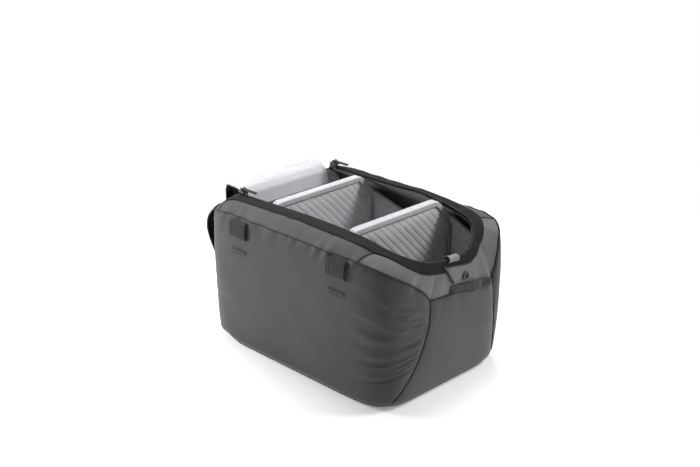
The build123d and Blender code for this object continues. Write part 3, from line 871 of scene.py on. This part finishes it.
def inflate(piece, cap):
    """Swells a closed mesh with cloth pressure, no point moving further than the cap."""
    start = read_points(piece.data)
    cloth = piece.modifiers.new("cloth", "CLOTH")
    cloth.settings.use_pressure = True
    cloth.settings.uniform_pressure_force = 4.0
    cloth.settings.effector_weights.gravity = 0.0
    for moment in range(1, 21):
        bpy.context.scene.frame_set(moment)
    plain_mesh(piece)
    bpy.context.scene.frame_set(1)
    move = read_points(piece.data) - start
    size = np.linalg.norm(move, axis=1, keepdims=True)
    set_positions(piece.data, start + move * np.minimum(1, cap * MM / np.maximum(size, 1e-9)))


def pad(name, nodes, voxel, cap, slimmer):
    """A soft pad in the space of some CAD solids: remeshed, inflated as cloth, smoothed."""
    work = bmesh.new()
    for node in nodes:
        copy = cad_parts[node].data.copy()
        copy.transform(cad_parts[node].matrix_world)
        work.from_mesh(copy)
    mesh = bpy.data.meshes.new(name)
    work.to_mesh(mesh)
    work.free()
    points = read_points(mesh)
    low, high = points.min(0), points.max(0)
    centre, size = (low + high) / 2, high - low
    scale = np.maximum(size - slimmer * MM, size * 0.6) / size
    set_positions(mesh, centre + (points - centre) * scale)
    piece = bpy.data.objects.new(name, mesh)
    bpy.context.collection.objects.link(piece)
    remesh = piece.modifiers.new("remesh", "REMESH")
    remesh.mode = "VOXEL"
    remesh.voxel_size = voxel * MM
    plain_mesh(piece)
    inflate(piece, cap)
    smoother = piece.modifiers.new("smoother", "SUBSURF")
    smoother.levels = smoother.render_levels = 2
    plain_mesh(piece)
    shade_smooth(piece)
    return piece


def dress(piece, materials, body, stands_for):
    """Gives a piece its materials, its body and the CAD nodes it stands for."""
    piece.data.materials.clear()
    for material in materials:
        piece.data.materials.append(material)
    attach(piece, body)
    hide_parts(*stands_for)
    return piece


# ------------------------------------------------------------------ padded dividers
QUILT_PITCH = 10.5
QUILT_DEPTH = 0.9
DIVIDER_CUT = 26.0                      # how far a divider's top corners are cut back
FLAP_FALL = 16.0                        # how far a flap's top drops along its length


def quilt(piece, axis, first, second):
    """Sews crossed diagonal channels into a pad's two faces."""
    points, facing = read_points(piece.data) / MM, read_points(piece.data, "normal")
    channel = 0
    crossed = (
        (points[:, first] + points[:, second], 1.0),
        (points[:, first] - points[:, second], 0.55),
    )
    for along, depth in crossed:
        ridge = np.abs(np.mod(along / QUILT_PITCH, 1.0) - 0.5) * 2
        channel = np.maximum(channel, depth * np.exp(-((1 - ridge) / 0.24) ** 2))
    flat = smooth((np.abs(facing[:, axis]) - 0.6) / 0.3)
    lumps = noise(points[:, first], points[:, second], 24, 61) * 0.5
    push = (lumps - QUILT_DEPTH * channel) * flat
    set_positions(piece.data, (points + facing * push[:, None]) * MM)


def binding(name, path, normal_axis, centre, half_thick, reach, body, groove=0.0):
    """A tape folded over a pad's edge: path is the edge's line in the pad's own plane."""
    path = np.array(path, float)
    length = distances(path)[-1]
    s = np.linspace(0, length, int(length / 1.2))
    line = soften(points_at(path, s), 6)
    along = unit(np.gradient(line, axis=0))
    outside = np.stack([-along[:, 1], along[:, 0]], -1)
    middle = line.mean(0)
    if np.sum((line - middle) * outside) < 0:
        outside = -outside
    turn = np.linspace(-1, 1, 23)
    arc = np.clip(turn / 0.5, -1, 1) * math.pi / 2
    flat = np.clip((np.abs(turn) - 0.5) / 0.5, 0, 1) * reach
    wide = half_thick * np.sign(np.sin(arc)) * np.abs(np.sin(arc)) ** 0.7
    out = 1.1 + np.cos(arc) * 1.4 - flat - groove * np.exp(-((wide / 1.5) ** 2))
    ripple = noise(s[:, None], wide[None, :] * 2, 8, 71) * 0.2
    points = np.zeros((len(s), len(turn), 3))
    others = [axis for axis in range(3) if axis != normal_axis]
    points[..., normal_axis] = centre + wide[None, :] + np.sign(wide)[None, :] * ripple
    for k in range(2):
        points[..., others[k]] = line[:, None, k] + outside[:, None, k] * out[None, :]
    sheet(name, points, pair(s[:, None], turn * reach), binding_cloth, body, 0.7, (),
          "light_lining", offset=0.0)


def divider(name):
    """One padded divider with its flaps and bound edges."""
    core = f"{name}_core"
    low, high = node_box(core)
    middle_x = (low[0] + high[0]) / 2
    half_thick = (high[0] - low[0]) / 2
    body_pad = pad(f"{name}_pad", [core], 4.0, 2.5, 2.0)
    quilt(body_pad, 0, 1, 2)
    dress(body_pad, [quilt_cloth], name, (core,))
    half, top = high[1], high[2]
    side_edge = [(half, low[2] + 30), (half, top - DIVIDER_CUT), (half - DIVIDER_CUT, top)]
    edge = [(-y, z) for y, z in side_edge] + side_edge[::-1]
    inset_edge = [(y * 0.985, z - 1.2) for y, z in edge]
    binding(f"{name}_binding", inset_edge, 0, middle_x, half_thick + 0.3, 5.0, name, 1.6)
    for flap in ("rear_flap", "front_flap"):
        node = f"{name}_{flap}"
        low, high = node_box(node)
        flap_pad = pad(f"{node}_pad", [node], 3.0, 1.5, 1.2)
        quilt(flap_pad, 1, 0, 2)
        dress(flap_pad, [quilt_cloth], name, (node,))
        end_x = high[0] - 1
        edge = [(low[0] + 0.5, high[2]), (end_x, high[2] - FLAP_FALL), (end_x, low[2] + 12)]
        binding(f"{node}_binding", edge, 1, (low[1] + high[1]) / 2,
                (high[1] - low[1]) / 2 + 0.2, 4.0, name)


divider("divider_1")
divider("divider_2")

# ------------------------------------------------------------------ the folded lid
lid_half_width = node_box("lid_near_zip_tape")[1][1]
near_low, near_high = node_box("lid_near_lining")
near_face, near_top, fold_z = near_low[0], near_high[2], near_low[2]
far_high = node_box("lid_far_lining")[1]
far_face, far_top = far_high[0], far_high[2]
nose_top = node_box("lid_nose_zip_tape")[1][2]
lid_thick = node_box("lid_near_shell")[1][0] - near_face


def lid_height(z):
    """How far up the folded-back half of the lid a height is, from 0 to 1."""
    return np.clip((z - fold_z) / (nose_top - fold_z), 0, 1)


def dome(y, z):
    """How far that half's padding bulges away from the bag."""
    crown = np.clip(1 - (y / lid_half_width) ** 2, 0, 1)
    return 13.0 * np.sin(math.pi * lid_height(z) ** 0.85) ** 0.9 * (0.25 + 0.75 * crown)


def flare(z):
    """How far its loose zip edge curls away from the bag."""
    return 20.5 * np.sin(math.pi * lid_height(z) ** 1.8) ** 0.7


def spread(z):
    """How far its front zip edge spreads sideways."""
    return 0.5 * flare(z)


def flatten(piece):
    """Gives a piece that bulges from the hanging lid a mesh of its own."""
    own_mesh(piece)


def lid_pad(section, bulge):
    """A padded lid section: outer fabric on one side and pale lining on the other."""
    layers = tuple(f"lid_{section}_{layer}" for layer in ("shell", "foam", "lining"))
    piece = pad(f"lid_{section}_pad", layers, 3.2, 1.6, 1.6)
    points = read_points(piece.data) / MM
    if bulge:
        points[:, 0] -= dome(points[:, 1], points[:, 2])
    points[:, 0] += noise(points[:, 1], points[:, 2], 26, 81) * (0.5 if bulge else 0.15)
    set_positions(piece.data, points * MM)
    body = f"lid_{section}"
    dress(piece, [gusset_cloth, pale_lining], body, layers)
    outside = -1.0 if bulge else 1.0
    for face in piece.data.polygons:
        face.material_index = 0 if face.normal.x * outside > -0.2 else 1
    if bulge:
        flatten(piece)


lid_pad("near", False)
lid_pad("far", True)
lid_pad("nose", True)


near_middle = near_face + lid_thick / 2
far_middle = far_face - lid_thick / 2


def near_x(y, z):
    """The middle of the half against the bag."""
    return near_middle + 0 * z


def far_x(y, z):
    """The middle of the folded-back half: domed in the padding, curling out at the zip edge."""
    curl = smooth((np.abs(y) / lid_half_width - 0.80) / 0.20)
    return (far_middle - dome(y, z)) * (1 - curl) + (far_middle - flare(z)) * curl


def near_edge(side):
    """The zip's line along one edge of the half against the bag, as places across and up."""
    z = np.linspace(fold_z + 6, near_top - 5, 60)
    reach = lid_half_width + 5.0 * smooth((near_top - 45 - z) / 20) * smooth((z - fold_z + 4) / 20)
    return np.stack([side * reach, z], -1)


def far_edge(side):
    """Its line along one edge of the folded-back half."""
    z = np.linspace(fold_z + 6, far_top + 1.5, 50)
    loose = spread(z) if side < 0 else 0.0 * z
    return np.stack([side * (lid_half_width + loose), z], -1)


def nose_edge():
    """Its line round the lid's end, from the rear edge over to the front edge."""
    corner = 30.0
    turn = np.linspace(0, math.pi / 2, 24)
    arc_y = lid_half_width + corner * (np.cos(turn) - 1)
    arc_z = nose_top + corner * (np.sin(turn) - 1)
    side_z = np.linspace(far_top - 1.5, nose_top - corner - 1, 8)
    rear_y = np.concatenate([lid_half_width + 0 * side_z, arc_y])
    rear = np.stack([rear_y, np.concatenate([side_z, arc_z])], -1)
    front = rear[::-1] * (-1, 1)
    front[:, 0] -= spread(front[:, 1])
    return np.concatenate([rear, front])


def lid_zip(section, edges, x_of, flattens=True):
    """Tape, coil and stitches along the edges of a lid section; each edge has its inward side."""
    tapes, coils, threads, uvs = [], [], [], []
    for path, inward_side in edges:
        length = distances(path)[-1]
        s = np.linspace(0, length, int(length / 1.5))
        line = points_at(path, s)
        along = unit(np.gradient(line, axis=0))
        inward = np.stack([along[:, 1], -along[:, 0]], -1) * inward_side * LID_TAPE_WIDTH
        t = np.linspace(0, 1, 8)
        yz = line[:, None, :] + inward[:, None, :] * t[None, :, None]
        x = x_of(yz[..., 0], yz[..., 1])
        points = np.concatenate([x[..., None], yz], axis=-1)
        tapes.append((points.reshape(-1, 3), grid_faces(*points.shape[:2])))
        uvs.append(pair(t * LID_TAPE_WIDTH, s[:, None]).reshape(-1, 2))
        coils.append(points[:, 0])
        for lift in (-0.7, 0.7):
            threads += stitch_row(points[:, 3], 3.4, 2.4, 0.26, (lift, 0, 0))
    body = f"lid_{section}"
    tape = finish_mesh(
        f"{body}_tape", *join(tapes), np.concatenate(uvs) * MM, tape_cloth, body,
        (f"{body}_zip_tape",), "zip_tape",
    )
    solid = tape.modifiers.new("thickness", "SOLIDIFY")
    solid.thickness = 1.1 * MM
    solid.offset = 0.0
    plain_mesh(tape)
    coil = coil_piece(f"{body}_coil", coils, body)
    sewn = sew(f"{body}_stitches", threads, "zip_tape", body)
    if flattens:
        for piece in (tape, coil, sewn):
            flatten(piece)


lid_zip("near", [(near_edge(-1), 1), (near_edge(1), -1)], near_x, flattens=False)
lid_zip("far", [(far_edge(-1), 1), (far_edge(1), -1)], far_x)
lid_zip("nose", [(nose_edge(), -1)], lambda y, z: far_x(y, z) + 0.3)


# ------------------------------------------------------------------ fabric across the lid's joints
def bridge(name, profile, half_width, stands_for=()):
    """Fabric over one of the lid's joints, dark outside and pale inside, from its side view.

    The profile is a list of (x, z) places along the fabric, from one end to the other.
    """
    profile = np.array(profile, float)
    length = distances(profile)[-1]
    s = np.linspace(0, length, max(int(length / 0.8), 8))
    line = soften(points_at(profile, s), 5)
    y = np.linspace(-half_width, half_width, int(half_width / 1.2))
    soft = noise(y[None, :], s[:, None] * 2, 16, 91) * 0.6 * np.sin(math.pi * s / s[-1])[:, None]
    points = np.zeros((len(s), len(y), 3))
    points[..., 0] = line[:, None, 0]
    points[..., 1] = y
    points[..., 2] = line[:, None, 1] + soft
    piece = sheet(name, points, pair(y, s[:, None]), pale_lining, None, 1.4, stands_for,
                  "light_lining", backing=gusset_cloth, offset=0.0)
    plain_mesh(piece)
    shade_smooth(piece)
    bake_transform(piece)


strip_low = node_box("lid_hinge_strip")[0]
strip_end, strip_z = strip_low[0], strip_low[2] - 1.2
pivot_x = node_box("left_top_gusset")[0][0] + 20
bridge(
    "hinge_cloth",
    [(pivot_x + 11, strip_z - 24), (pivot_x + 7, strip_z - 8), (pivot_x + 1, strip_z - 1.5),
     (pivot_x - 6, strip_z), (strip_end + 3, strip_z)],
    70, ("lid_hinge_strip",),
)
bridge(
    "swing_cloth",
    [(strip_end + 4, strip_z), (strip_end, strip_z), (near_middle, near_top - 4),
     (near_middle, near_top - 9)],
    70,
)
turn = np.linspace(0, math.pi, 15)
fold_x = (near_middle + far_middle) / 2
fold_reach = (near_middle - far_middle) / 2
fold_path = [(near_middle, fold_z + 10)]
fold_path += [(fold_x + fold_reach * math.cos(a), fold_z - 2.5 * math.sin(a)) for a in turn]
fold_path += [(far_middle - float(dome(0.0, fold_z + 8)) * 0.2, fold_z + 8)]
bridge(
    "fold_cloth", fold_path, 70,
)
bridge(
    "bend_cloth", [(far_face - 1.8, far_top - 7), (far_face - 1.8, far_top + 7)], 60,
)


# ------------------------------------------------------------------ webbing tabs and slots
def webbing_tab(side):
    """A folded webbing loop standing off the front panel under the top seam."""
    node = f"front_tab_{side}"
    low, high = node_box(node)
    drop = high[2] - low[2]
    front, back = low[1] - 0.6, high[1] + 0.3
    profile = [
        (back + 0.6, high[2] + 1), (front + 1.0, high[2] - 3), (front, high[2] - drop * 0.6),
        (front + 0.2, low[2] + 3), (front + 1.2, low[2] + 0.3), (back - 0.4, low[2] + 0.3),
        (back, low[2] + 3), (back, high[2] - drop * 0.6), (back + 0.2, high[2] - 2),
    ]
    profile = np.array(profile, float)
    s = np.linspace(0, distances(profile)[-1], 60)
    line = soften(points_at(profile, s), 2)
    x = np.linspace(low[0], high[0], 113)
    ribs = 0.32 * np.sin(2 * math.pi * (x - low[0]) / 2.1)
    edge = np.minimum(x - low[0], high[0] - x)
    selvedge = -0.5 * np.exp(-edge / 0.7)
    points = np.zeros((len(s), len(x), 3))
    points[..., 0] = x
    outer_side = np.where(s < s[-1] * 0.52, 1, -1)[:, None]
    points[..., 1] = line[:, None, 0] - (ribs + selvedge) * outer_side
    points[..., 2] = line[:, None, 1]
    sheet(f"webbing_tab_{side}", points, pair(x, s[:, None]), webbing_cloth, f"tab_{side}", 1.1,
          (node,), "webbing", offset=0.0)


webbing_tab("left")
webbing_tab("right")


slot_low, slot_high = node_box("tab_slots")
slot_z = (slot_low[2] + slot_high[2]) / 2
SLOT_LENGTH, WELT_HEIGHT = 26.0, 3.4


def slot_welt(name, centre):
    """The bound lips of a slot, centred at a place round the front panel."""
    u, v = np.linspace(-1, 1, 40)[None, :], np.linspace(-1, 1, 12)[:, None]
    s = centre + u * SLOT_LENGTH / 2 + 0 * v
    z = slot_z + v * WELT_HEIGHT / 2 + 0 * u
    crown = 1.3 * (1 - np.maximum(np.abs(u) ** 8, v ** 4) * 0.9)
    sheet(name, wall(s, z, crown), pair(s, z), webbing_cloth, BODY, 0.8, ("tab_slots",), "webbing")


def slots_piece():
    """A welt under each tab, with a row of stitches above and below it."""
    rows = []
    for number, side in enumerate(("left", "right")):
        low, high = node_box(f"front_tab_{side}")
        centre = around((low[0] + high[0]) / 2, -half_depth)
        slot_welt(f"slot_welt_{number + 1}", centre)
        s = centre + np.linspace(-SLOT_LENGTH / 2 - 2, SLOT_LENGTH / 2 + 2, 60)
        for rise in (-WELT_HEIGHT, WELT_HEIGHT):
            rows += stitch_row(wall(s, slot_z + rise + 0 * s, 0.25), 2.6, 1.9, 0.3)
    sew("slot_stitches", rows, "webbing")


slots_piece()

# ------------------------------------------------------------------ right end fittings
def end_s(y, reach):
    """How far round the bag a y on the right end is, spread evenly from -reach to reach."""
    return np.interp(y, (-reach, reach), (around(half_length, -reach), around(half_length, reach)))


def end_place(y, z):
    """Where on the right gusset a place on the end lies: round the bag, and up the gusset."""
    s = end_s(y, 60)
    seam = end_seam_z(s)
    top = rim(s)[..., 2]
    return s, (z - seam) / (top - seam)


def patch_piece():
    """The ribbed patch under the snap: a leaning four-cornered piece."""
    low_front, low_rear, high_front, high_rear = np.array([(4, 124), (44, 121), (-15, 148), (41, 139)])
    u = np.linspace(0, 1, 60)[None, :, None]
    v = np.linspace(0, 1, 40)[:, None, None]
    low_edge = low_front * (1 - u) + low_rear * u
    high_edge = high_front * (1 - u) + high_rear * u
    yz = low_edge * (1 - v) + high_edge * v
    s, w = end_place(yz[..., 0], yz[..., 1])
    ribs = 0.16 * np.sin(2 * math.pi * (yz[..., 1] + yz[..., 0] * 0.23) / 2.2)
    sheet("end_patch_cloth", gusset(s, w, 1.5 + ribs), yz, patch_cloth, BODY, 1.2, ("end_patch",),
          "ribbed_patch")
    edge = gusset(s[:, 0], w[:, 0], 1.5)
    top_edge = gusset(s[-1], w[-1], 1.4)
    cord("end_patch_edge", [edge, top_edge], 0.8, piping_cloth, BODY, slot="piping")
    rows = []
    for k in (3, -4):
        rows += stitch_row(gusset(s[:, k], w[:, k], 1.75), 3.0, 2.2, 0.25)
    rows += stitch_row(gusset(s[3], w[3], 1.75), 3.0, 2.2, 0.25)
    sew("end_patch_stitches", rows, "ribbed_patch")


patch_piece()


def strap_piece():
    """The flat webbing strap along the top of the end panel, with sewn boxes at its ends."""
    low, high = node_box("end_strap")
    width = 9.0
    y = np.linspace(low[1] + 1, high[1] - 1, 120)
    middle = np.linspace(high[2] - width / 2, low[2] + width / 2, 120)
    across = np.linspace(-width / 2, width / 2, 25)[:, None]
    s = end_s(y, 80) + 0 * across
    z = middle + across
    edge = width / 2 - np.abs(across)
    ribs = 0.2 * np.sin(2 * math.pi * across / 1.8) - 0.5 * np.exp(-edge / 0.5)
    sag = np.sin(math.pi * np.linspace(0, 1, 120))
    points = wall(s, z, 1.9 + ribs + sag)
    sheet("end_strap_webbing", points, pair(y, z), webbing_cloth, BODY, 1.3, ("end_strap",), "webbing")
    rows = []
    for start in (3, 98):
        box = points[4:21, start:start + 19]
        sides = (box[0], box[-1], box[:, 0], box[:, -1])
        for line in (*sides, [box[k, round(k * 18 / 16)] for k in range(17)]):
            rows += stitch_row(line, 2.2, 1.6, 0.28, (0.2, 0, 0))
    sew("end_strap_stitches", rows, "webbing")


strap_piece()


GARAGE_RADIUS = 4.3


def garage_piece():
    """The little fabric tunnel that covers the coil at the middle of the right end."""
    path = rim(end_s(np.linspace(-3, 20, 40), 60)) + (0, 0, 1.4)
    turn = np.linspace(0, 2 * math.pi, 28)
    along = unit(np.gradient(path, axis=0))
    side = unit(np.cross(along, (0, 0, 1.0)))
    up = np.cross(side, along)
    flared = GARAGE_RADIUS + 0.25 * np.cos(np.linspace(0, 2 * math.pi, 40))[:, None]
    wrinkle = 0.25 * noise(np.arange(40.0)[:, None], turn[None, :] * 4, 3, 95)
    radius = (flared + wrinkle)[..., None]
    cosine, sine = np.cos(turn)[None, :, None], np.sin(turn)[None, :, None]
    points = path[:, None, :] + radius * (cosine * side[:, None, :] + 0.85 * sine * up[:, None, :])
    uvs = pair(distances(path)[:, None], turn * GARAGE_RADIUS)
    sheet("zip_garage_cloth", points, uvs, garage_cloth, BODY, 0.7, ("zip_garage",),
          "garage_fabric", offset=0.0)


garage_piece()


def stops_piece():
    """The two metal stops at the coil's left ends."""
    blocks = []
    for s, inward in ((zip_start, 3.0), (zip_end, -3.0)):
        ends = s + inward * np.array([-1.0, -0.7, 0.0, 0.3])
        path = rim(ends) + (0, 0, 0.4)
        blocks.append(tube_mesh(path, np.array([1.4, 2.3, 2.3, 1.4]), sides=12, flat=0.8))
    finish_mesh("coil_end_stops", *join(blocks), None, slider_metal, BODY, ("zip_end_stops",),
                "slider_metal")


stops_piece()

board_rings = rings(
    6.0, np.linspace(0.9, 0.0, 8),
    lambda ring, scale: 3.0 + 0.1 * noise(ring[:, 0], ring[:, 1], 30, 99),
)
sheet("base_board_sheet", board_rings, board_rings[..., :2], board_plastic, BODY, 1.2,
      ("base_board",), "stiffener", wrap=True)

# ------------------------------------------------------------------ CAD pieces that stay
finishes = (
    (slider_metal, ("front_slider", "rear_slider", "front_pull", "rear_pull", "snap_ring")),
    (black_metal, ("snap_socket",)),
    (hook_stuff, ("divider_1_hook_strips", "divider_2_hook_strips")),
)
for material, nodes in finishes:
    for node in nodes:
        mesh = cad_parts[node].data
        mesh.materials.clear()
        mesh.materials.append(material)

# ------------------------------------------------------------------ camera, light, floor
def camera():
    """The camera, a metre or so off the front right corner, looking down at the bag."""
    data = bpy.data.cameras.new("camera")
    data.lens = 60.15
    data.sensor_width = 36.0
    eye = bpy.data.objects.new("camera", data)
    eye.location = (0.912, -0.9209, 0.6585)
    eye.rotation_euler = (math.radians(90 - 21.53), 0, math.radians(45.02))
    bpy.context.collection.objects.link(eye)
    bpy.context.scene.camera = eye


def soft_light(name, place, aim, size, power):
    """A round lamp, with places in metres and power in watts."""
    data = bpy.data.lights.new(name, "AREA")
    data.shape = "DISK"
    data.size = size
    data.energy = power
    lamp = bpy.data.objects.new(name, data)
    lamp.location = place
    direction = Vector(aim) - Vector(place)
    lamp.rotation_euler = direction.to_track_quat("-Z", "Y").to_euler()
    bpy.context.collection.objects.link(lamp)


def floor_paper():
    """A pale floor that fades to plain white away from the bag."""
    material, nodes, links, shader = new_material("floor_paper")
    shader.inputs["Base Color"].default_value = (0.95, 0.95, 0.95, 1)
    shader.inputs["Emission Color"].default_value = (1, 1, 1, 1)
    shader.inputs["Emission Strength"].default_value = 0.22
    shader.inputs["Roughness"].default_value = 0.95
    shader.inputs["Specular IOR Level"].default_value = 0.0
    place = nodes.new("ShaderNodeTexCoord")
    distance = nodes.new("ShaderNodeVectorMath")
    distance.operation = "LENGTH"
    links.new(place.outputs["Object"], distance.inputs[0])
    fade = add_node(nodes, "MapRange", From_Min=0.2, From_Max=0.75)
    fade.interpolation_type = "SMOOTHSTEP"
    links.new(distance.outputs["Value"], fade.inputs["Value"])
    glow = nodes.new("ShaderNodeEmission")
    mix = nodes.new("ShaderNodeMixShader")
    links.new(fade.outputs["Result"], mix.inputs["Fac"])
    links.new(shader.outputs["BSDF"], mix.inputs[1])
    links.new(glow.outputs["Emission"], mix.inputs[2])
    links.new(mix.outputs["Shader"], nodes["Material Output"].inputs["Surface"])
    return material


def studio():
    """Pale floor, white surroundings and soft lamps."""
    mesh = bpy.data.meshes.new("floor")
    reach, drop = 8.0, -0.0006
    corners = ((-reach, -reach), (reach, -reach), (reach, reach), (-reach, reach))
    mesh.from_pydata([(x, y, drop) for x, y in corners], [], [[0, 1, 2, 3]])
    mesh.materials.append(floor_paper())
    floor = bpy.data.objects.new("floor", mesh)
    bpy.context.collection.objects.link(floor)
    world = bpy.data.worlds.new("studio")
    bpy.context.scene.world = world
    world.use_nodes = True
    nodes, links = world.node_tree.nodes, world.node_tree.links
    background = nodes["Background"]
    background.inputs["Color"].default_value = (1, 1, 1, 1)
    seen = nodes.new("ShaderNodeLightPath")
    strength = add_node(nodes, "MapRange", To_Min=0.26, To_Max=1.05)
    links.new(seen.outputs["Is Camera Ray"], strength.inputs["Value"])
    links.new(strength.outputs["Result"], background.inputs["Strength"])
    soft_light("key", (-0.45, -0.42, 0.32), (-0.17, -0.1, 0.1), 0.25, 3.2)
    soft_light("top", (-0.35, 0.25, 1.3), (0, 0, 0.1), 0.9, 15)
    soft_light("side", (0.75, 0.75, 1.15), (0.1, 0, 0.15), 0.5, 12)
    bpy.context.scene.view_settings.view_transform = "Standard"


camera()
studio()
